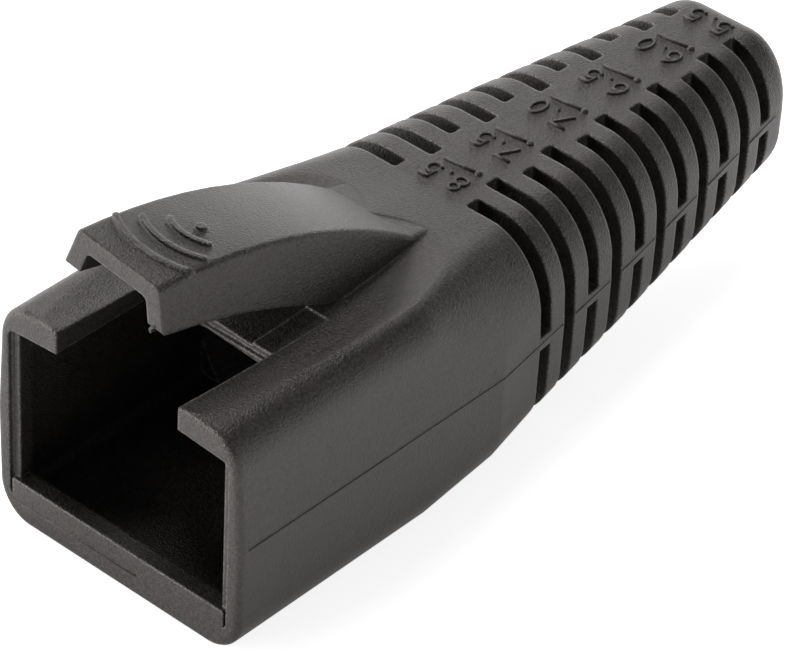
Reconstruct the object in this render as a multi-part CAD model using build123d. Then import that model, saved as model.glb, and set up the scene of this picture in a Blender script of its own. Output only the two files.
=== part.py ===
from build123d import *
import math
import os

# Strain relief boot for a modular plug: one flexible moulding.
# Millimetres. X runs across, Y from the plug end to the cable end, Z up from the flat underside.
# While it is modelled the mouth lies at y = 0. At the end the origin moves to the middle of the length.

# Plug socket
socket_half_width = 5.95
socket_floor = 1.2
socket_ceiling = 9.72
ceiling_slope = math.radians(4.0)
socket_depth = 11.0
socket_corner_radius = 0.4
side_wall = 0.72
roof_thickness = 1.28

# Mouth details
lip_height = 0.9
lip_depth = 0.8
lip_end_gap = 0.15
rib_width = 0.39
rib_setback = 0.23
rib_depth = 0.7
rib_root = 0.15
mouth_edge_radius = 0.32

# Outer body
parting_height = 5.45
upper_draft = math.radians(3.5)
lower_draft = math.radians(1.0)
long_edge_radius = 1.85
deck_half_width = 4.95
deck_slope = math.radians(7.0)
shoulder_start = 11.2
shoulder_length = 6.8
waist_setback = 2.65
waist_deck_half_width = 3.95
waist_upper_corner = 4.8
waist_lower_corner = 2.6

# Section at the end of the body, where the neck begins
shoulder_half_width = 6.27
shoulder_top = 10.22
shoulder_bottom = 0.5
shoulder_deck_half_width = 3.3
shoulder_upper_corner = 3.5
shoulder_lower_corner = 2.3

# Neck
slot_count = 11
slot_pitch = 1.714
slot_width = 0.78
long_slot_start = 1.44
short_slot_start = 1.92
slot_corner_radius = 0.16
web_height = 0.6
neck_knee = 7.0
knee_half_width = 5.48
knee_deck_half_width = 2.5
knee_upper_corner = 3.3
knee_lower_corner = 2.6
end_ring_length = 1.85
end_half_width = 3.5
end_top = 9.6
end_bottom = 2.6
end_parting_height = 6.4
end_deck_half_width = 1.2
end_upper_corner = 3.0
end_lower_corner = 2.6
end_ring_radius = 1.15

# Cable passage, along an axis that rises slightly to the cable end
funnel_radius = 6.6
throat_radius = 4.1
throat_setback = 0.6
cable_bore_radius = 2.65

# Latch slot and the recess behind it
latch_slot_half_width = 3.27
latch_slot_length = 5.1
latch_ledge_depth = 0.2
latch_ledge_top = 10.02
recess_length = 3.3
recess_floor = 10.35
valley_tube_radius = 10.0
valley_sweep_radius = 111.0
valley_bottom = 10.4
valley_half_length = 11.0
valley_middle = 9.5
valley_offset = 2.75

# Lever over the latch slot
lever_tip = 0.1
lever_crest_height = 16.12
lever_crest_setback = 2.2
lever_crest_radius = 28.5
leg_crest_drop = 1.32
leg_crest_setback = 7.1
leg_crest_radius = 32.9
lever_root_setback = 3.6
lever_root_blend = 1.2
lever_root_sink = 0.12
lever_tip_half_width = 2.17
lever_root_half_width = 2.4
leg_tip_flare = math.radians(14.0)
leg_root_flare = math.radians(6.0)
lever_roll = 8.0
lever_edge_radius = 0.3
lever_tip_radius = 0.12
lever_skin = 0.85
leg_wall = 0.62
channel_end_height = 1.36

# Grip pattern on the lever
grip_first_radius = 1.82
grip_spacing = 1.06
grip_arc_count = 3
grip_width = 0.26
grip_height = 0.12
grip_half_angle = 34.0
grip_centre = 5.22
grip_dot_radius = 0.24
grip_dot_centre = 4.37
grip_offset = 0.2

# Spans into which the lever is divided when it is lofted
lever_spans = 9

# Places that follow from the sizes above
body_length = shoulder_start + shoulder_length
neck_end = body_length + (slot_count - 1) * slot_pitch + slot_width
overall_length = neck_end + end_ring_length
front_half_width = socket_half_width + side_wall
front_top = socket_ceiling + roof_thickness + latch_slot_half_width * math.tan(deck_slope)
lever_root = body_length - lever_root_setback
past = 1.0


def lerp(low, high, share):
    return low + (high - low) * share


def section_plane(y):
    return Plane(origin=(0, y, 0), x_dir=(1, 0, 0), z_dir=(0, -1, 0))


def parting_level(y):
    """Height at which the mould's halves meet: level along the body, rising along the neck."""
    share = max(0.0, (y - body_length) / (overall_length - body_length))
    return lerp(parting_height, end_parting_height, share)


def moulded_section(y, half_width, bottom, top, flat_half, upper_corner, lower_corner, slope=0.0):
    """Closed outline across the boot: flat top and bottom, round corners, drafted sides."""
    parting = parting_level(y)
    edge_top = top - flat_half * math.tan(slope)
    side_high = edge_top - upper_corner
    side_low = bottom + lower_corner
    high_half = half_width - (side_high - parting) * math.tan(upper_draft)
    low_half = half_width - (parting - side_low) * math.tan(lower_draft)

    def upper_arc(side, start):
        centre = (side * flat_half, side_high)
        return EllipticalCenterArc(centre, high_half - flat_half, upper_corner, start, arc_size=90)

    def lower_arc(side, start):
        centre = (side * flat_half, side_low)
        return EllipticalCenterArc(centre, low_half - flat_half, lower_corner, start, arc_size=90)

    edges = [
        Line((-flat_half, bottom), (flat_half, bottom)),
        lower_arc(1, 270),
        Line((low_half, side_low), (half_width, parting)),
        Line((half_width, parting), (high_half, side_high)),
        upper_arc(1, 0),
        Line((flat_half, edge_top), (0, top)),
        Line((0, top), (-flat_half, edge_top)),
        upper_arc(-1, 90),
        Line((-high_half, side_high), (-half_width, parting)),
        Line((-half_width, parting), (-low_half, side_low)),
        lower_arc(-1, 180),
    ]
    return section_plane(y) * Face(Wire(edges))


def block(x, y, z):
    """Box given by its low and high limits along each axis."""
    return Pos(sum(x) / 2, sum(y) / 2, sum(z) / 2) * Box(x[1] - x[0], y[1] - y[0], z[1] - z[0])


def shoulder_share(y):
    return (y - shoulder_start) / shoulder_length


def outer_body():
    """Socket box, shoulders whose corners grow rounder to the rear, and the neck."""
    waist = body_length - waist_setback
    share = shoulder_share(waist)
    knee = body_length + neck_knee
    knee_share = neck_knee / (overall_length - body_length)
    front = moulded_section(
        shoulder_start,
        front_half_width,
        0,
        front_top,
        deck_half_width,
        long_edge_radius,
        long_edge_radius,
        deck_slope,
    )
    box = extrude(front, amount=shoulder_start)
    sections = [
        front,
        moulded_section(
            waist,
            front_half_width,
            0,
            lerp(front_top, shoulder_top, share),
            waist_deck_half_width,
            waist_upper_corner,
            waist_lower_corner,
            lerp(deck_slope, 0, share),
        ),
        moulded_section(
            body_length,
            shoulder_half_width,
            shoulder_bottom,
            shoulder_top,
            shoulder_deck_half_width,
            shoulder_upper_corner,
            shoulder_lower_corner,
        ),
        moulded_section(
            knee,
            knee_half_width,
            lerp(shoulder_bottom, end_bottom, knee_share),
            lerp(shoulder_top, end_top, knee_share),
            knee_deck_half_width,
            knee_upper_corner,
            knee_lower_corner,
        ),
        moulded_section(
            overall_length,
            end_half_width,
            end_bottom,
            end_top,
            end_deck_half_width,
            end_upper_corner,
            end_lower_corner,
        ),
    ]
    rear = loft(sections, ruled=True)
    rear = fillet(rear.faces().sort_by(Axis.Y)[-1].edges(), end_ring_radius)
    box = fillet(box.faces().sort_by(Axis.Y)[0].edges(), mouth_edge_radius)
    return box + rear


def socket_block(start, end):
    """Room for the plug: upright walls, level floor, ceiling sloping down to both sides."""
    side_top = socket_ceiling - (socket_half_width - latch_slot_half_width) * math.tan(ceiling_slope)
    middle_top = socket_ceiling + latch_slot_half_width * math.tan(ceiling_slope)
    corners = [
        (-socket_half_width, socket_floor),
        (socket_half_width, socket_floor),
        (socket_half_width, side_top),
        (0, middle_top),
        (-socket_half_width, side_top),
    ]
    outline = Face(Wire.make_polygon(corners, close=True))
    round_corners = outline.vertices().filter_by(lambda corner: abs(corner.X) > past)
    outline = fillet(round_corners, socket_corner_radius)
    return extrude(section_plane(end) * outline, amount=end - start)


def passage():
    """Turned form of funnel, taper and bore, set along the middle of the neck."""
    throat = body_length - throat_setback
    throat_height = (shoulder_top + shoulder_bottom) / 2
    end_height = (end_top + end_bottom) / 2
    front = -(throat - socket_depth + past)
    taper_end = neck_end - throat
    back = overall_length - throat + past
    corners = [
        (0, front),
        (funnel_radius, front),
        (throat_radius, 0),
        (cable_bore_radius, taper_end),
        (cable_bore_radius, back),
        (0, back),
    ]
    turned = revolve(Plane.XZ * Face(Wire.make_polygon(corners, close=True)), Axis.Z)
    direction = (0, overall_length - throat, end_height - throat_height)
    frame = Plane(origin=(0, throat, throat_height), x_dir=(1, 0, 0), z_dir=direction)
    return frame * turned


def cavity():
    """Plug socket and the passage behind it, as one solid to take away."""
    room = socket_block(socket_depth - past, overall_length + past)
    return socket_block(-past, socket_depth) + (passage() & room)


def mouth_lip():
    """Bar along the mouth's lower edge, with a narrow gap at each end."""
    half = socket_half_width - lip_end_gap
    step = socket_floor - past / 2
    return block((-half, half), (0, lip_depth), (step, socket_floor + lip_height))


def mouth_ribs():
    """Upright rib on each side wall, just inside the mouth."""
    span = (rib_setback, rib_setback + rib_depth)
    height = (socket_floor - past / 2, socket_ceiling)
    root = socket_half_width + rib_root
    edge = socket_half_width - rib_width
    return [block((edge, root), span, height), block((-root, -edge), span, height)]


def latch_slot():
    """Slot through the roof at the mouth, and the lower shelf behind it under the lever."""
    half = latch_slot_half_width
    ceiling = socket_ceiling - roof_thickness / 2
    ledge_end = latch_slot_length + latch_ledge_depth
    shelf_end = latch_slot_length + recess_length
    through = block((-half, half), (-past, latch_slot_length), (ceiling, front_top + past))
    ledge = block((-half, half), (-past, ledge_end), (latch_ledge_top, front_top + past))
    shelf = block((-half, half), (-past, shelf_end), (recess_floor, front_top + past))
    return through + ledge + shelf


def valley():
    """Ring whose underside scoops a long shallow valley into the deck beside the lever."""
    tube_centre = valley_bottom + valley_tube_radius
    centre = tube_centre + valley_sweep_radius
    tube = section_plane(valley_middle) * Pos(0, tube_centre) * Circle(valley_tube_radius)
    axis = Axis((0, valley_middle, centre), (1, 0, 0))
    turn = math.degrees(math.asin(valley_half_length / valley_sweep_radius))
    ring = revolve(tube, axis, revolution_arc=2 * turn)
    return Pos(0, valley_middle, centre) * (Rot(-turn, 0, 0) * (Pos(0, -valley_middle, -centre) * ring))


def side_slots():
    """Cuts through both sides of the neck. Odd ones leave a web at the parting plane."""
    reach = shoulder_half_width + past
    cuts = []
    for number in range(1, slot_count + 1):
        front = body_length + (number - 1) * slot_pitch
        is_odd = number % 2 == 1
        is_last = number == slot_count
        start = short_slot_start if is_odd and not is_last else long_slot_start
        levels = [(-past, front_top)]
        if is_odd:
            web = parting_level(front + slot_width / 2)
            levels = [(-past, web - web_height / 2), (web + web_height / 2, front_top)]
        for level in levels:
            right = block((start, reach), (front, front + slot_width), level)
            inner_edges = right.edges().filter_by(Axis.Z).group_by(Axis.X)[0]
            right = fillet(inner_edges, slot_corner_radius)
            cuts.append(right)
            cuts.append(mirror(right, about=Plane.YZ))
    return cuts


def arc_height(y, crest_height, setback, radius):
    """Height of an arched line whose crest lies a little in front of the mouth."""
    return crest_height - radius + math.sqrt(radius**2 - (y + setback) ** 2)


def deck_height(y):
    """Height of the shoulders' top along the middle of the boot."""
    return lerp(front_top, shoulder_top, shoulder_share(y))


def lever_top(y):
    """Arch along the lever's top, easing into the deck behind the root."""
    start = lever_root - lever_root_blend
    arch = arc_height(min(y, start), lever_crest_height, lever_crest_setback, lever_crest_radius)
    if y <= start:
        return arch
    end = lever_root + lever_root_blend
    sunk = deck_height(end) - lever_root_sink
    return lerp(sunk, arch, ((end - y) / (end - start)) ** 2)


def leg_bottom(y):
    crest = lever_crest_height - leg_crest_drop
    arch = arc_height(y, crest, leg_crest_setback, leg_crest_radius)
    return min(max(arch, recess_floor), lever_top(y) - lever_skin)


def stations(first, last):
    """Evenly spaced places along the lever."""
    return [lerp(first, last, index / lever_spans) for index in range(lever_spans + 1)]


def lever_section(y, top, bottom, inset=0.0, skin=0.0):
    """Outline across the lever: flat top, round edges, legs that flare, rolled at the tip."""
    share = max(0.0, min((y - lever_tip) / (lever_root - lever_tip), 1.0))
    flare = lerp(leg_tip_flare, leg_root_flare, share)
    top_half = lerp(lever_tip_half_width, lever_root_half_width, share) - inset
    high = top - skin
    low_half = top_half + (high - bottom) * math.tan(flare)
    corners = [(-low_half, bottom), (low_half, bottom), (top_half, high), (-top_half, high)]
    outline = Face(Wire.make_polygon(corners, close=True))
    outline = fillet(outline.vertices().group_by(Axis.Y)[-1], lever_edge_radius)
    roll = lever_roll * (1 - share) ** 2
    rolled = Pos(0, top) * (Rot(0, 0, -roll) * (Pos(0, -top) * outline))
    return section_plane(y) * rolled


def lever():
    """Arched lever over the latch slot, without its channel."""
    start = lever_root - lever_root_blend
    places = stations(lever_tip, start) + [lever_root, lever_root + lever_root_blend]
    sections = [lever_section(y, lever_top(y), leg_bottom(y)) for y in places]
    solid = loft(sections, ruled=True)
    tip_edges = solid.faces().sort_by(Axis.Y)[0].edges()
    return fillet(tip_edges, lever_tip_radius)


def channel_end():
    """Place where the lever's top has come down to the channel's rear height and the skin above it."""
    low = recess_floor + channel_end_height + lever_skin
    start = lever_root - lever_root_blend
    if lever_top(start) < low:
        fall = lever_crest_radius - lever_crest_height + low
        return math.sqrt(lever_crest_radius**2 - fall**2) - lever_crest_setback
    end = lever_root + lever_root_blend
    sunk = deck_height(end) - lever_root_sink
    share = (low - sunk) / (lever_top(start) - sunk)
    return end - (end - start) * math.sqrt(share)


def lever_channel():
    """Hollow under the lever, open at its tip and down to the shelf."""
    sections = []
    for y in stations(-past, channel_end()):
        sections.append(lever_section(y, lever_top(y), recess_floor, leg_wall, lever_skin))
    return loft(sections, ruled=True)


def grip_pattern(lever_solid):
    """Raised arcs round a dot, bulging towards the lever's tip."""
    turn = 2 * grip_half_angle
    marks = Pos(grip_offset, grip_dot_centre) * Circle(grip_dot_radius)
    for index in range(grip_arc_count):
        radius = grip_first_radius + index * grip_spacing
        line = CenterArc((grip_offset, grip_centre), radius, 270 - grip_half_angle, turn)
        marks += SlotArc(line, grip_width)
    prism = extrude(marks, lever_crest_height + past)
    skin = Pos(0, 0, grip_height) * lever_solid - Pos(0, 0, -lever_skin / 2) * lever_solid
    return prism & skin


boot = outer_body()
boot -= cavity()
boot += mouth_lip()
for rib in mouth_ribs():
    boot += rib
boot -= latch_slot()
for side in (-valley_offset, valley_offset):
    boot -= Pos(side, 0, 0) * valley()
lever_solid = lever()
boot += lever_solid
boot -= lever_channel()
boot += grip_pattern(lever_solid)
for cut in side_slots():
    boot -= cut

os.makedirs("parts", exist_ok=True)
export_step(Pos(0, -overall_length / 2, 0) * boot, "parts/boot.step")
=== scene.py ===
import math

import bpy
from mathutils import Matrix, Vector


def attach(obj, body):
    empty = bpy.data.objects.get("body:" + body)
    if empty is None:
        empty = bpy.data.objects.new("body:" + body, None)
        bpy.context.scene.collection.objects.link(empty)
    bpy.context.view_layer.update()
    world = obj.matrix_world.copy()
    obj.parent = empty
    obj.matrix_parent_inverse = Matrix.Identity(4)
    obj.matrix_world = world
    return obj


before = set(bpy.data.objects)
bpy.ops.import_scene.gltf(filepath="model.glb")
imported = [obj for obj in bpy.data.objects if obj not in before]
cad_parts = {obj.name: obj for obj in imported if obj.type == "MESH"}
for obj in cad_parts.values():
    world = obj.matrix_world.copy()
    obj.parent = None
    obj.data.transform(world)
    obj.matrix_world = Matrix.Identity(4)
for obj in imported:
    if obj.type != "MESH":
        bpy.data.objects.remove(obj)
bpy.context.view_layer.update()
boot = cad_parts["boot"]

# Sizes are in millimetres in the drawing frame: X across, Y from the mouth to the cable end, Z up.
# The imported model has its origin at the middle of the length, so points are moved by HALF_LENGTH.
MM = 0.001
LENGTH = 37.77
HALF_LENGTH = LENGTH / 2

# Body and neck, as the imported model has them: tables give (y, value) along the length
BODY_LENGTH = 18.0
SLOT_PITCH = 1.714
SLOT_WIDTH = 0.78
SLOT_COUNT = 11
HALF_WIDTHS = ((0.0, 6.67), (15.35, 6.67), (18.0, 6.27), (25.0, 5.48), (37.77, 3.5))
PARTING_LEVELS = ((0.0, 5.45), (18.0, 5.45), (37.77, 6.4))
SPINE_LEVELS = ((18.0, 10.22), (37.77, 9.6))

# Cable sizes on the spine: the label, and where the tops of its digits are. The last has no line.
LABELS = (
    ("8.5", 18.42),
    ("7.5", 21.64),
    ("7.0", 25.14),
    ("6.5", 28.58),
    ("6.0", 32.18),
    ("5.5", 35.6),
)
DIGIT_HEIGHT = 1.0
DIGIT_WIDTH = 0.56
LEFT_DIGIT_X = 1.0
RIGHT_DIGIT_X = -0.45
POINT_X = 0.0
POINT_RADIUS = 0.1
POINT_HEIGHT = 0.12
POINT_RISE = 0.08
STROKE_WIDTH = 0.13
STROKE_HEIGHT = 0.1
LINE_GAP = 0.5
LINE_START = 0.8
LINE_END = -0.9
LINE_SKEW = 0.17
LINE_DOT_RADIUS = 0.17
LINE_DOT_HEIGHT = 0.15
LABEL_SINK = 0.05

# Fine line where the mould's halves met
BEAD_WIDTH = 0.07
BEAD_HEIGHT = 0.022
BEAD_SINK = 0.03
BEAD_START = 0.45
BEAD_END_GAP = 1.25
BEAD_SLOT_GAP = 0.06

# Faint line of a mould insert on the front
WITNESS_FIRST = -5.75
WITNESS_LAST = 1.1
WITNESS_LEVEL = 1.0
WITNESS_RISE = 0.07
WITNESS_WIDTH = 0.09
WITNESS_HEIGHT = 0.008
WITNESS_SINK = 0.03

# Hook of flash under the lever's right foot: across and up, on the lever's front end
LEVER_TIP = 0.1
FLASH_PATH = [(1.95, 13.86), (1.74, 13.72), (1.66, 13.58), (1.7, 13.45)]
FLASH_WIDTH = 0.12
FLASH_HEIGHT = 0.02
FLASH_DEPTH = 0.25

# Shape of a moulded rib, as shares of its width or height
RIB_SOFT_WIDTH = 0.3
RIB_SOFT_HEIGHT = 0.5
RIB_DRAFT = 0.15
RIB_ROUND_ACROSS = 0.35
RIB_ROUND_DOWN = 0.3
MITRE_LEAST = 0.5
DOME_FOOT = 1.05

# Surface: colours and the gloss
PLASTIC_COLOUR = (0.066, 0.058, 0.054, 1.0)
PLASTIC_DARK = (0.005, 0.0044, 0.0041, 1.0)
# Colour of the painted highlight on the edges, standing in for their glints
EDGE_HIGHLIGHT_COLOUR = (0.24, 0.228, 0.22, 1.0)
GLOSS_TINT = (1.0, 0.94, 0.915, 1.0)
SPECULAR_LEVEL = 0.5
SMOOTHEST = 0.24
ROUGHEST = 0.52
EDGE_RADIUS = 0.19 * MM
BEVEL_SAMPLES = 8

# Surface: the textures, in cycles to the millimetre, and the relief of the grain
PER_MILLIMETRE = (1000, 1000, 1000)
GRAIN = {"Scale": 12.0, "Detail": 2.0, "Roughness": 0.62}
PITS = {"Scale": 10.0, "Smoothness": 0.6}
WAVES = {"Scale": 0.45, "Detail": 4.0}
SPECKS = {"Scale": 7.0, "Detail": 2.0, "Roughness": 0.8}
PIT_SHARE = 0.45
WAVE_SHARE = 0.2
RELIEF = 0.038 * MM
RELIEF_STRENGTH = 1.0

# Surface: between which values of a texture or an edge's turn a tone sets in
SPECKLE_FROM, SPECKLE_TO = 0.34, 0.66
# Turns and specks at which the edges' painted highlight sets in
EDGE_HIGHLIGHT_FROM, EDGE_HIGHLIGHT_TO = 0.99, 0.88
HIGHLIGHT_SPECK_FROM, HIGHLIGHT_SPECK_TO = 0.42, 0.66

# Where a valley meets a shoulder, in millimetres from the model's origin: the band's soft limits
SHOULDER_RADIUS = 0.9 * MM
SHOULDER_INNER = (3.3, 4.1)
SHOULDER_LOW = (8.6, 9.4)
SHOULDER_REAR = (-1.6, -2.8)
SHOULDER_FRONT = (-18.4, -17.2)

# Joins between the faces of one surface: how near their points lie, and how shallow they are
JOIN_GAP = 0.0005 * MM
JOIN_ANGLE = math.radians(4.0)
RIM = "rim"

# Floor and room: half the sheet's size in metres and its parts, its colour, how far it is lifted to
# white, how it shows in the gloss far off and close to the boot, where a painted shade dims it, how
# far that painted shade reaches, and the room's light
FLOOR_HALF = 0.8
FLOOR_PARTS = 8
FLOOR_COLOUR = (0.82, 0.82, 0.82, 1.0)
WHITE = (1.0, 1.0, 1.0, 1.0)
FLOOR_LIFT = 0.83
FLOOR_IN_GLOSS = 0.86
FLOOR_PAINTED_SHADE_IN_GLOSS = 0.37
PAINTED_SHADE_REACH = 11.0 * MM
ROOM_LIGHT = 0.12

# Lamps: name, place, size and watts, all aimed at one point of the boot, in metres
LAMP_TARGET = (0.0, 0.0, 0.005)
LAMPS = (
    ("overhead", (-0.16, 0.16, 0.5), (0.2, 0.2), 1.2),
    ("left", (-0.5, 0.0, 0.15), (0.3, 0.3), 1.0),
    ("left_back", (-0.4, 0.2, 0.3), (0.25, 0.25), 0.6),
    ("back", (-0.1, 0.5, 0.03), (0.8, 0.06), 0.25),
    ("back_low", (-0.27, 0.45, 0.075), (0.22, 0.12), 0.22),
    ("front", (-0.32, -0.44, 0.085), (0.5, 0.13), 2.9),
    ("right", (0.5, 0.1, 0.12), (0.2, 0.3), 0.3),
)

# Camera, from the photograph
CAMERA_PLACE = (97.158, -117.156, 119.715)
CAMERA_AZIMUTH = math.radians(40.23)
CAMERA_ELEVATION = math.radians(37.64)
CAMERA_ROLL = math.radians(2.89)
FOCAL_PIXELS = 4611.6
FRAME_WIDTH = 800
SENSOR_WIDTH = 36.0
CLIP_NEAR = 0.01
CLIP_FAR = 10.0


def along(table, y):
    """Value at y in a table of (y, value) pairs, straight between them."""
    for (y0, v0), (y1, v1) in zip(table, table[1:]):
        if y <= y1:
            return v0 + (v1 - v0) * (y - y0) / (y1 - y0)
    return table[-1][1]


def point(x, y, z):
    """Drawing millimetres to scene metres."""
    return Vector((x * MM, (y - HALF_LENGTH) * MM, z * MM))


def new_mesh(name, vertices, faces, material):
    """Smooth-shaded piece with one material, in the scene."""
    mesh = bpy.data.meshes.new(name)
    mesh.from_pydata(vertices, [], faces)
    mesh.validate()
    for polygon in mesh.polygons:
        polygon.use_smooth = True
    mesh.materials.append(material)
    piece = bpy.data.objects.new(name, mesh)
    bpy.context.scene.collection.objects.link(piece)
    return piece


# Strokes: a low moulded rib swept along a path that lies on a surface

def rib_profile(width, height, sink):
    """Points across a rib: (sideways, proud), from its left root over the top to its right root."""
    half = width / 2
    soft = min(RIB_SOFT_WIDTH * width, RIB_SOFT_HEIGHT * height)
    draft = RIB_DRAFT * height
    corner = half - RIB_ROUND_ACROSS * soft
    shoulder = height - RIB_ROUND_DOWN * soft
    return (
        (-half - draft, -sink),
        (-half, height - soft),
        (-corner, shoulder),
        (-half + soft, height),
        (half - soft, height),
        (corner, shoulder),
        (half, height - soft),
        (half + draft, -sink),
    )


def path_normals(path, closed):
    """Sideways direction at each point of a flat path, mitred at its corners."""
    count = len(path)
    normals = []
    for i in range(count):
        before = path[i - 1] if i or closed else path[i]
        after = path[(i + 1) % count] if i < count - 1 or closed else path[i]
        step_in = Vector((path[i][0] - before[0], path[i][1] - before[1]))
        step_out = Vector((after[0] - path[i][0], after[1] - path[i][1]))
        if step_in.length == 0:
            step_in = step_out
        if step_out.length == 0:
            step_out = step_in
        tangent = (step_in.normalized() + step_out.normalized()).normalized()
        side = Vector((-tangent.y, tangent.x))
        stretch = 1 / max(MITRE_LEAST, side.dot(Vector((-step_in.y, step_in.x)).normalized()))
        normals.append(side * stretch)
    return normals


def rib(path, closed, profile, surface, mesh_data):
    """Adds a rib along a flat path. surface turns (u, v, proud) into a scene point."""
    vertices, faces = mesh_data
    start = len(vertices)
    across = len(profile)
    for (u, v), side in zip(path, path_normals(path, closed)):
        for offset, proud in profile:
            vertices.append(surface(u + side.x * offset, v + side.y * offset, proud))
    rings = len(path)
    for i in range(rings if closed else rings - 1):
        low = start + i * across
        high = start + ((i + 1) % rings) * across
        for j in range(across - 1):
            faces.append((low + j, high + j, high + j + 1, low + j + 1))
        faces.append((low + across - 1, high + across - 1, high, low))
    if not closed:
        faces.append([start + j for j in range(across)])
        last = start + (rings - 1) * across
        faces.append([last + across - 1 - j for j in range(across)])


def dome(u, v, radius, height, sink, surface, mesh_data, turns=20, rings=5):
    """Adds a low round stud at one place of a surface."""
    vertices, faces = mesh_data
    start = len(vertices)
    levels = [(radius * DOME_FOOT, -sink)]
    for i in range(rings):
        angle = math.radians(90 * i / rings)
        levels.append((radius * math.cos(angle), height * math.sin(angle)))
    for reach, proud in levels:
        for j in range(turns):
            turn = 2 * math.pi * j / turns
            vertices.append(surface(u + reach * math.cos(turn), v + reach * math.sin(turn), proud))
    top = len(vertices)
    vertices.append(surface(u, v, height))
    for i in range(len(levels) - 1):
        for j in range(turns):
            after = (j + 1) % turns
            low = start + i * turns
            faces.append((low + j, low + after, low + turns + after, low + turns + j))
    low = start + (len(levels) - 1) * turns
    for j in range(turns):
        faces.append((low + j, low + (j + 1) % turns, top))
    faces.append([start + turns - 1 - j for j in range(turns)])


def arc(cx, cy, rx, ry, first, last, count=18):
    """Points on an ellipse from one angle to another, in degrees."""
    points = []
    for i in range(count + 1):
        angle = math.radians(first + (last - first) * i / count)
        points.append((cx + rx * math.cos(angle), cy + ry * math.sin(angle)))
    return points


def ring(cx, cy, rx, ry):
    """Points once round an ellipse."""
    return arc(cx, cy, rx, ry, 0, 360, 28)[:-1]


def digit_paths(digit):
    """Strokes of a digit, 1 high and DIGIT_WIDTH / DIGIT_HEIGHT wide, as (path, closed) pairs."""
    wide = DIGIT_WIDTH / DIGIT_HEIGHT
    mid = wide / 2
    if digit == "0":
        return [(ring(mid, 0.5, mid, 0.5), True)]
    if digit == "8":
        return [(ring(mid, 0.77, 0.8 * mid, 0.23), True), (ring(mid, 0.27, mid, 0.27), True)]
    if digit == "7":
        return [([(-0.1, 1.0), (wide + 0.08, 1.0), (0.14, 0.0)], False)]
    if digit == "6":
        stem = arc(wide * 1.02, 0.33, wide * 1.02, 0.67, 100, 176, 12)
        return [(ring(mid, 0.32, mid, 0.32), True), (stem, False)]
    bowl = arc(mid * 0.9, 0.34, mid * 1.1, 0.34, 128, -140, 20)
    flag = [(wide * 0.98, 1.0), (0.1, 1.0), (0.04, 0.56)]
    return [(flag + bowl, False)]


def spine_surface(u, v, proud):
    """Point on the flat top of the neck; u runs across, v along."""
    return point(u, v, along(SPINE_LEVELS, v) + proud)


def make_labels(material):
    """Raised sizes along the spine, read from the cable end, each with its line and dot."""
    mesh_data = ([], [])
    profile = rib_profile(STROKE_WIDTH, STROKE_HEIGHT, LABEL_SINK)
    for label, top in LABELS:
        bottom = top + DIGIT_HEIGHT
        for digit, start in ((label[0], LEFT_DIGIT_X), (label[2], RIGHT_DIGIT_X)):
            for path, closed in digit_paths(digit):
                placed = [(start - x * DIGIT_HEIGHT, bottom - y * DIGIT_HEIGHT) for x, y in path]
                rib(placed, closed, profile, spine_surface, mesh_data)
        stud = (POINT_RADIUS, POINT_HEIGHT, LABEL_SINK)
        dome(POINT_X, bottom - POINT_RISE, *stud, spine_surface, mesh_data)
        if label == LABELS[-1][0]:
            continue
        level = bottom + LINE_GAP
        line = [(LINE_END, level), (LINE_START, level + LINE_SKEW)]
        rib(line, False, profile, spine_surface, mesh_data)
        stud = (LINE_DOT_RADIUS, LINE_DOT_HEIGHT, LABEL_SINK)
        dome(LINE_START, level + LINE_SKEW, *stud, spine_surface, mesh_data)
    return new_mesh("cable_sizes", *mesh_data, material)


def front_surface(u, v, proud):
    """Point on the face around the mouth; u runs across, v up."""
    return point(u, -proud, v)


def make_witness_line(material):
    """Faint line left by a mould insert, low on the front."""
    mesh_data = ([], [])
    path = [(WITNESS_FIRST, WITNESS_LEVEL), (WITNESS_LAST, WITNESS_LEVEL + WITNESS_RISE)]
    profile = rib_profile(WITNESS_WIDTH, WITNESS_HEIGHT, WITNESS_SINK)
    rib(path, False, profile, front_surface, mesh_data)
    return new_mesh("witness_line", *mesh_data, material)


def lever_front(u, v, proud):
    """Point on the lever's front end; u runs across, v up."""
    return point(u, LEVER_TIP - proud, v)


def make_flash(material):
    """Small hook of flash under the foot of the lever's right leg."""
    mesh_data = ([], [])
    profile = rib_profile(FLASH_WIDTH, FLASH_HEIGHT, FLASH_DEPTH)
    rib(FLASH_PATH, False, profile, lever_front, mesh_data)
    return new_mesh("leg_flash", *mesh_data, material)


def side_surface(side):
    """Surface of one flank; u runs along, v is the height above the parting plane."""
    def surface(u, v, proud):
        return point(side * (along(HALF_WIDTHS, u) + proud), u, along(PARTING_LEVELS, u) + v)
    return surface


def parting_runs():
    """Stretches of the flank that the parting line crosses: all but the even slots."""
    starts = [BODY_LENGTH + SLOT_PITCH * n for n in range(1, SLOT_COUNT, 2)]
    edges = [BEAD_START]
    for start in starts:
        edges += [start - BEAD_SLOT_GAP, start + SLOT_WIDTH + BEAD_SLOT_GAP]
    edges.append(LENGTH - BEAD_END_GAP)
    return list(zip(edges[::2], edges[1::2]))


def make_parting_line(name, side, material):
    """Fine bead along one flank; side is 1 on the right and -1 on the left."""
    mesh_data = ([], [])
    profile = rib_profile(BEAD_WIDTH, BEAD_HEIGHT, BEAD_SINK)
    for first, last in parting_runs():
        knots = [y for y, _ in HALF_WIDTHS if first < y < last]
        path = [(y, 0.0) for y in [first] + knots + [last]]
        rib(path, False, profile, side_surface(side), mesh_data)
    return new_mesh(name, *mesh_data, material)


# Materials

def add_node(tree, kind, place, **values):
    """New node at a place of the tree, with its own settings."""
    node = tree.nodes.new(kind)
    node.location = place
    for key, value in values.items():
        setattr(node, key, value)
    return node


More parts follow.
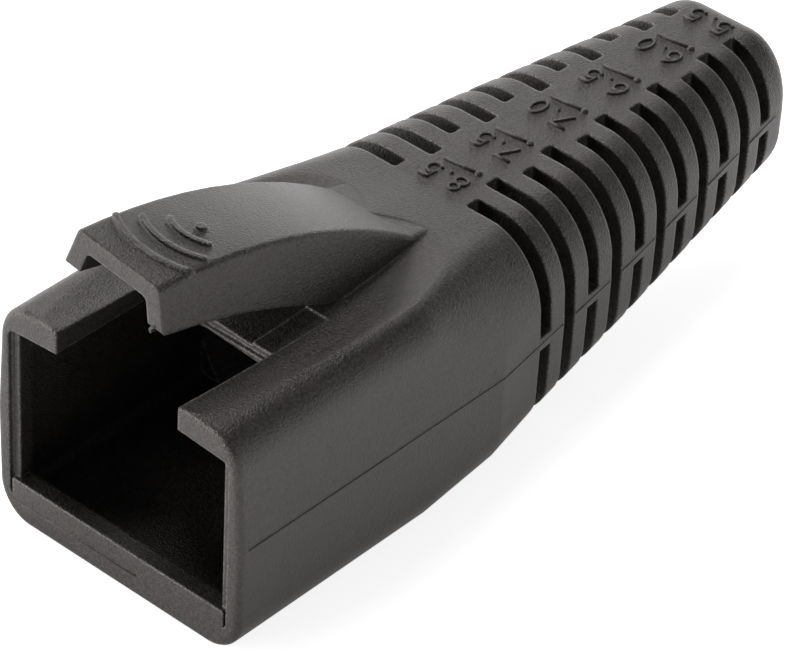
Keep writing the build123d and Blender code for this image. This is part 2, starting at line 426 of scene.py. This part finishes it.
def ramp(tree, value, first, last, place):
    """Soft step of a value: 0 at first, 1 at last."""
    step = add_node(tree, "ShaderNodeMapRange", place, interpolation_type="SMOOTHSTEP")
    step.inputs["From Min"].default_value = first
    step.inputs["From Max"].default_value = last
    tree.links.new(value, step.inputs["Value"])
    return step.outputs["Result"]


def times(tree, first, second, place):
    """Product of two values."""
    node = add_node(tree, "ShaderNodeMath", place, operation="MULTIPLY")
    tree.links.new(first, node.inputs[0])
    tree.links.new(second, node.inputs[1])
    return node.outputs["Value"]


def edge_softness(tree, millimetres):
    """Radius at which edges are shaded round: wide where a valley meets a shoulder, else fine."""
    axes = add_node(tree, "ShaderNodeSeparateXYZ", (-2100, 600))
    tree.links.new(millimetres, axes.inputs["Vector"])
    across = add_node(tree, "ShaderNodeMath", (-1900, 700), operation="ABSOLUTE")
    tree.links.new(axes.outputs["X"], across.inputs[0])
    outside = ramp(tree, across.outputs["Value"], *SHOULDER_INNER, (-1700, 800))
    above = ramp(tree, axes.outputs["Z"], *SHOULDER_LOW, (-1700, 600))
    before = ramp(tree, axes.outputs["Y"], *SHOULDER_REAR, (-1700, 400))
    behind = ramp(tree, axes.outputs["Y"], *SHOULDER_FRONT, (-1700, 200))
    beside = times(tree, outside, above, (-1500, 700))
    between = times(tree, before, behind, (-1500, 400))
    place = times(tree, beside, between, (-1400, 600))
    radius = add_node(tree, "ShaderNodeMapRange", (-1300, 600))
    radius.inputs["To Min"].default_value = EDGE_RADIUS
    radius.inputs["To Max"].default_value = SHOULDER_RADIUS
    tree.links.new(place, radius.inputs["Value"])
    return radius.outputs["Result"]


def texture(tree, kind, place, points, numbers, **settings):
    """Texture node over the points, with the numbers set on its own sockets."""
    node = add_node(tree, kind, place, **settings)
    for socket, number in numbers.items():
        node.inputs[socket].default_value = number
    tree.links.new(points, node.inputs["Vector"])
    return node


def span(tree, value, first, last, place):
    """Straight step of a value: 0 at first, 1 at last."""
    step = add_node(tree, "ShaderNodeMapRange", place)
    step.inputs["From Min"].default_value = first
    step.inputs["From Max"].default_value = last
    tree.links.new(value, step.inputs["Value"])
    return step.outputs["Result"]


def grain_relief(tree, grain, pits):
    """Bump of the spark-eroded grain and its pits."""
    height = add_node(tree, "ShaderNodeMath", (-900, -300), operation="MULTIPLY_ADD")
    height.inputs[1].default_value = PIT_SHARE
    tree.links.new(pits.outputs["Distance"], height.inputs[0])
    tree.links.new(grain.outputs["Fac"], height.inputs[2])
    bump = add_node(tree, "ShaderNodeBump", (-500, -300))
    bump.inputs["Strength"].default_value = RELIEF_STRENGTH
    bump.inputs["Distance"].default_value = RELIEF
    tree.links.new(height.outputs["Value"], bump.inputs["Height"])
    return bump


def mottled_tone(tree, specks, waves):
    """Colour that drifts slowly and by specks between the dark and the plain plastic."""
    speckle = span(tree, specks.outputs["Fac"], SPECKLE_FROM, SPECKLE_TO, (-900, 0))
    blend = add_node(tree, "ShaderNodeMix", (-900, 200), data_type="FLOAT")
    blend.inputs["Factor"].default_value = WAVE_SHARE
    tree.links.new(speckle, blend.inputs["A"])
    tree.links.new(waves.outputs["Fac"], blend.inputs["B"])
    tone = add_node(tree, "ShaderNodeMix", (-700, 250), data_type="RGBA")
    tone.inputs["A"].default_value = PLASTIC_DARK
    tone.inputs["B"].default_value = PLASTIC_COLOUR
    tree.links.new(blend.outputs["Result"], tone.inputs["Factor"])
    return tone.outputs["Result"]


def painted_edge_highlights(tree, colour, grain, millimetres, bump):
    """Rounds the edges in the shading, and paints highlights on them by specks where they turn."""
    link = tree.links.new
    rounded = add_node(tree, "ShaderNodeBevel", (-1120, 500), samples=BEVEL_SAMPLES)
    link(edge_softness(tree, millimetres), rounded.inputs["Radius"])
    link(rounded.outputs["Normal"], bump.inputs["Normal"])
    surface = add_node(tree, "ShaderNodeNewGeometry", (-1120, 700))
    turn = add_node(tree, "ShaderNodeVectorMath", (-900, 600), operation="DOT_PRODUCT")
    link(rounded.outputs["Normal"], turn.inputs[0])
    link(surface.outputs["Normal"], turn.inputs[1])
    highlight_band = span(tree, turn.outputs["Value"], EDGE_HIGHLIGHT_FROM, EDGE_HIGHLIGHT_TO, (-700, 600))
    speck = span(tree, grain.outputs["Fac"], HIGHLIGHT_SPECK_FROM, HIGHLIGHT_SPECK_TO, (-700, 450))
    # Painted highlight: a light colour mixed in on the turning edges
    highlighted = add_node(tree, "ShaderNodeMix", (-300, 300), data_type="RGBA")
    highlighted.inputs["B"].default_value = EDGE_HIGHLIGHT_COLOUR
    link(times(tree, highlight_band, speck, (-500, 550)), highlighted.inputs["Factor"])
    link(colour, highlighted.inputs["A"])
    return highlighted.outputs["Result"]


def moulded_plastic(name, edges=True):
    """Charcoal plastic with a spark-eroded grain, mottled, and painted highlights where the edges
    turn.
    """
    material = bpy.data.materials.new(name)
    material.use_nodes = True
    tree = material.node_tree
    link = tree.links.new
    shader = tree.nodes["Principled BSDF"]
    coords = add_node(tree, "ShaderNodeTexCoord", (-1500, 0))
    scale = add_node(tree, "ShaderNodeMapping", (-1320, 0))
    scale.inputs["Scale"].default_value = PER_MILLIMETRE
    link(coords.outputs["Object"], scale.inputs["Vector"])
    points = scale.outputs["Vector"]
    grain = texture(tree, "ShaderNodeTexNoise", (-1120, -200), points, GRAIN)
    pits = texture(tree, "ShaderNodeTexVoronoi", (-1120, -450), points, PITS, feature="SMOOTH_F1")
    waves = texture(tree, "ShaderNodeTexNoise", (-1120, 150), points, WAVES)
    specks = texture(tree, "ShaderNodeTexNoise", (-1120, 0), points, SPECKS)

    bump = grain_relief(tree, grain, pits)
    link(bump.outputs["Normal"], shader.inputs["Normal"])
    colour = mottled_tone(tree, specks, waves)
    # Painted highlights on the edges
    if edges:
        colour = painted_edge_highlights(tree, colour, grain, points, bump)
    link(colour, shader.inputs["Base Color"])

    gloss = add_node(tree, "ShaderNodeMapRange", (-500, 0))
    gloss.inputs["To Min"].default_value = SMOOTHEST
    gloss.inputs["To Max"].default_value = ROUGHEST
    link(specks.outputs["Fac"], gloss.inputs["Value"])
    link(gloss.outputs["Result"], shader.inputs["Roughness"])
    shader.inputs["Specular IOR Level"].default_value = SPECULAR_LEVEL
    shader.inputs["Specular Tint"].default_value = GLOSS_TINT
    return material


def floor_in_gloss(tree):
    """How bright the sheet shows in the gloss: dimmer close to the boot, a painted shade there."""
    coords = add_node(tree, "ShaderNodeTexCoord", (-1600, -300))
    axes = add_node(tree, "ShaderNodeSeparateXYZ", (-1400, -300))
    tree.links.new(coords.outputs["Object"], axes.inputs["Vector"])
    reach = []
    for axis, half in (("X", HALF_WIDTHS[0][1]), ("Y", HALF_LENGTH)):
        size = add_node(tree, "ShaderNodeMath", (-1200, -300), operation="ABSOLUTE")
        tree.links.new(axes.outputs[axis], size.inputs[0])
        past = add_node(tree, "ShaderNodeMath", (-1000, -300), operation="SUBTRACT")
        past.inputs[1].default_value = half * MM
        tree.links.new(size.outputs["Value"], past.inputs[0])
        reach.append(past.outputs["Value"])
    away = add_node(tree, "ShaderNodeMath", (-800, -300), operation="MAXIMUM")
    tree.links.new(reach[0], away.inputs[0])
    tree.links.new(reach[1], away.inputs[1])
    level = add_node(tree, "ShaderNodeMapRange", (-600, -300))
    level.inputs["From Max"].default_value = PAINTED_SHADE_REACH
    level.inputs["To Min"].default_value = FLOOR_PAINTED_SHADE_IN_GLOSS
    level.inputs["To Max"].default_value = FLOOR_IN_GLOSS
    tree.links.new(away.outputs["Value"], level.inputs["Value"])
    return level.outputs["Result"]


def floor_material():
    """White sheet: plain diffuse to the light, lifted to white for the camera, shadow kept."""
    material = bpy.data.materials.new("floor_white")
    material.use_nodes = True
    tree = material.node_tree
    tree.nodes.clear()
    link = tree.links.new
    out = add_node(tree, "ShaderNodeOutputMaterial", (400, 0))
    sheet = add_node(tree, "ShaderNodeBsdfDiffuse", (0, 100))
    sheet.inputs["Color"].default_value = FLOOR_COLOUR
    glow = add_node(tree, "ShaderNodeEmission", (0, -100))
    rays = add_node(tree, "ShaderNodeLightPath", (-600, -100))
    # The floor's glow for glossy rays carries a painted shade near the boot
    mirrored = times(tree, rays.outputs["Is Glossy Ray"], floor_in_gloss(tree), (-400, -200))
    seen = add_node(tree, "ShaderNodeMath", (-200, -100), operation="MULTIPLY_ADD")
    seen.inputs[1].default_value = FLOOR_LIFT
    link(rays.outputs["Is Camera Ray"], seen.inputs[0])
    link(mirrored, seen.inputs[2])
    link(seen.outputs["Value"], glow.inputs["Strength"])
    both = add_node(tree, "ShaderNodeAddShader", (200, 0))
    link(sheet.outputs["BSDF"], both.inputs[0])
    link(glow.outputs["Emission"], both.inputs[1])
    link(both.outputs["Shader"], out.inputs["Surface"])
    return material


# Stage

def make_floor():
    """Plain white sheet under the boot."""
    mesh = bpy.data.meshes.new("floor")
    step = 2 * FLOOR_HALF / FLOOR_PARTS
    marks = [-FLOOR_HALF + i * step for i in range(FLOOR_PARTS + 1)]
    row = len(marks)
    vertices = [(x, y, 0.0) for x in marks for y in marks]
    faces = []
    for i in range(FLOOR_PARTS):
        for j in range(FLOOR_PARTS):
            low = i * row + j
            faces.append((low, low + row, low + row + 1, low + 1))
    mesh.from_pydata(vertices, [], faces)
    mesh.materials.append(floor_material())
    floor = bpy.data.objects.new("floor", mesh)
    bpy.context.scene.collection.objects.link(floor)


def make_world():
    """Plain room: a little light on the boot, and white behind it for the camera."""
    world = bpy.data.worlds.new("studio")
    bpy.context.scene.world = world
    world.use_nodes = True
    tree = world.node_tree
    tree.nodes.clear()
    link = tree.links.new
    out = add_node(tree, "ShaderNodeOutputWorld", (400, 0))
    room = add_node(tree, "ShaderNodeBackground", (0, 100))
    room.inputs["Color"].default_value = WHITE
    room.inputs["Strength"].default_value = ROOM_LIGHT
    white = add_node(tree, "ShaderNodeBackground", (0, -100))
    white.inputs["Color"].default_value = WHITE
    rays = add_node(tree, "ShaderNodeLightPath", (-200, 300))
    pick = add_node(tree, "ShaderNodeMixShader", (200, 0))
    link(rays.outputs["Is Camera Ray"], pick.inputs["Fac"])
    link(room.outputs["Background"], pick.inputs[1])
    link(white.outputs["Background"], pick.inputs[2])
    link(pick.outputs["Shader"], out.inputs["Surface"])


def make_lamp(name, place, size, watts):
    """Rectangular lamp aimed at the boot."""
    data = bpy.data.lights.new(name, "AREA")
    data.shape = "RECTANGLE"
    data.size = size[0]
    data.size_y = size[1]
    data.energy = watts
    lamp = bpy.data.objects.new(name, data)
    lamp.location = place
    aim = Vector(LAMP_TARGET) - Vector(place)
    lamp.rotation_mode = "QUATERNION"
    lamp.rotation_quaternion = aim.to_track_quat("-Z", "Y")
    bpy.context.scene.collection.objects.link(lamp)


def make_lights():
    """Soft lamps round the boot, placed as the glints on its flat faces show them."""
    for name, place, size, watts in LAMPS:
        make_lamp(name, place, size, watts)


def make_camera():
    """Camera at the photograph's place, angle and frame."""
    a, e, r = CAMERA_AZIMUTH, CAMERA_ELEVATION, CAMERA_ROLL
    level = Vector((math.cos(a), math.sin(a), 0))
    back = Vector((math.sin(a) * math.cos(e), -math.cos(a) * math.cos(e), math.sin(e)))
    upright = Vector((-math.sin(a) * math.sin(e), math.cos(a) * math.sin(e), math.cos(e)))
    right = math.cos(r) * level + math.sin(r) * upright
    up = math.cos(r) * upright - math.sin(r) * level
    data = bpy.data.cameras.new("camera")
    data.sensor_width = SENSOR_WIDTH
    data.lens = FOCAL_PIXELS * SENSOR_WIDTH / FRAME_WIDTH
    data.clip_start = CLIP_NEAR
    data.clip_end = CLIP_FAR
    camera = bpy.data.objects.new("camera", data)
    turn = Matrix((right, up, back)).transposed().to_4x4()
    camera.matrix_world = Matrix.Translation(Vector(CAMERA_PLACE) * MM) @ turn
    bpy.context.scene.collection.objects.link(camera)
    bpy.context.scene.camera = camera


def mark_rims(tree, geometry):
    """Keeps on each edge whether only one face meets it: the rims of the model's faces."""
    link = tree.links.new
    beside = add_node(tree, "GeometryNodeInputMeshEdgeNeighbors", (-900, -200))
    alone = add_node(tree, "FunctionNodeCompare", (-700, -200), data_type="INT", operation="EQUAL")
    alone.inputs["B"].default_value = 1
    link(beside.outputs["Face Count"], alone.inputs["A"])
    kind = {"data_type": "BOOLEAN", "domain": "EDGE"}
    store = add_node(tree, "GeometryNodeStoreNamedAttribute", (-500, 0), **kind)
    store.inputs["Name"].default_value = RIM
    link(geometry, store.inputs["Geometry"])
    link(alone.outputs["Result"], store.inputs["Value"])
    return store.outputs["Geometry"]


def join_faces(tree, geometry):
    """Joins the points that the faces share, and drops the normals that they came with."""
    link = tree.links.new
    merge = add_node(tree, "GeometryNodeMergeByDistance", (-300, 0))
    merge.inputs["Distance"].default_value = JOIN_GAP
    link(geometry, merge.inputs["Geometry"])
    plain = add_node(tree, "GeometryNodeRemoveAttribute", (-100, 0))
    plain.inputs["Name"].default_value = "custom_normal"
    link(merge.outputs["Geometry"], plain.inputs["Geometry"])
    return plain.outputs["Geometry"]


def steep_rims(tree):
    """Whether an edge is a rim too steep to be shaded across."""
    link = tree.links.new
    rim = add_node(tree, "GeometryNodeInputNamedAttribute", (-100, -200), data_type="BOOLEAN")
    rim.inputs["Name"].default_value = RIM
    turn = add_node(tree, "GeometryNodeInputMeshEdgeAngle", (-100, -400))
    kind = {"data_type": "FLOAT", "operation": "GREATER_THAN"}
    steep = add_node(tree, "FunctionNodeCompare", (100, -400), **kind)
    steep.inputs["B"].default_value = JOIN_ANGLE
    link(turn.outputs["Unsigned Angle"], steep.inputs["A"])
    both = add_node(tree, "FunctionNodeBooleanMath", (300, -300), operation="AND")
    link(rim.outputs["Attribute"], both.inputs[0])
    link(steep.outputs["Result"], both.inputs[1])
    return both.outputs["Boolean"]


def smooth_spans(node):
    """Modifier that shades across the shallow joins between the faces of one rounded surface."""
    tree = bpy.data.node_groups.new("span_shading", "GeometryNodeTree")
    tree.interface.new_socket("Geometry", in_out="INPUT", socket_type="NodeSocketGeometry")
    tree.interface.new_socket("Geometry", in_out="OUTPUT", socket_type="NodeSocketGeometry")
    link = tree.links.new
    start = add_node(tree, "NodeGroupInput", (-900, 0))
    end = add_node(tree, "NodeGroupOutput", (900, 0))
    joined = join_faces(tree, mark_rims(tree, start.outputs["Geometry"]))
    soft = add_node(tree, "GeometryNodeSetShadeSmooth", (300, 0), domain="FACE")
    link(joined, soft.inputs["Geometry"])
    sharp = add_node(tree, "GeometryNodeSetShadeSmooth", (600, 0), domain="EDGE")
    sharp.inputs["Shade Smooth"].default_value = False
    link(soft.outputs["Geometry"], sharp.inputs["Geometry"])
    link(steep_rims(tree), sharp.inputs["Selection"])
    link(sharp.outputs["Geometry"], end.inputs["Geometry"])
    node.modifiers.new("span_shading", "NODES").node_group = tree


def dress(node, material):
    """Gives a CAD node its material."""
    node.data.materials.clear()
    node.data.materials.append(material)


def add_piece(piece):
    """A piece moulded with the boot is attached to the root body and rides with it."""
    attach(piece, "root")


scene = bpy.context.scene
scene.view_settings.view_transform = "Standard"
make_camera()
make_world()
make_lights()
make_floor()
plastic = moulded_plastic("moulded_plastic")
fine_plastic = moulded_plastic("moulded_plastic_fine", edges=False)
dress(boot, plastic)
smooth_spans(boot)
add_piece(make_labels(fine_plastic))
add_piece(make_witness_line(fine_plastic))
add_piece(make_flash(fine_plastic))
add_piece(make_parting_line("parting_line_right", 1, fine_plastic))
add_piece(make_parting_line("parting_line_left", -1, fine_plastic))
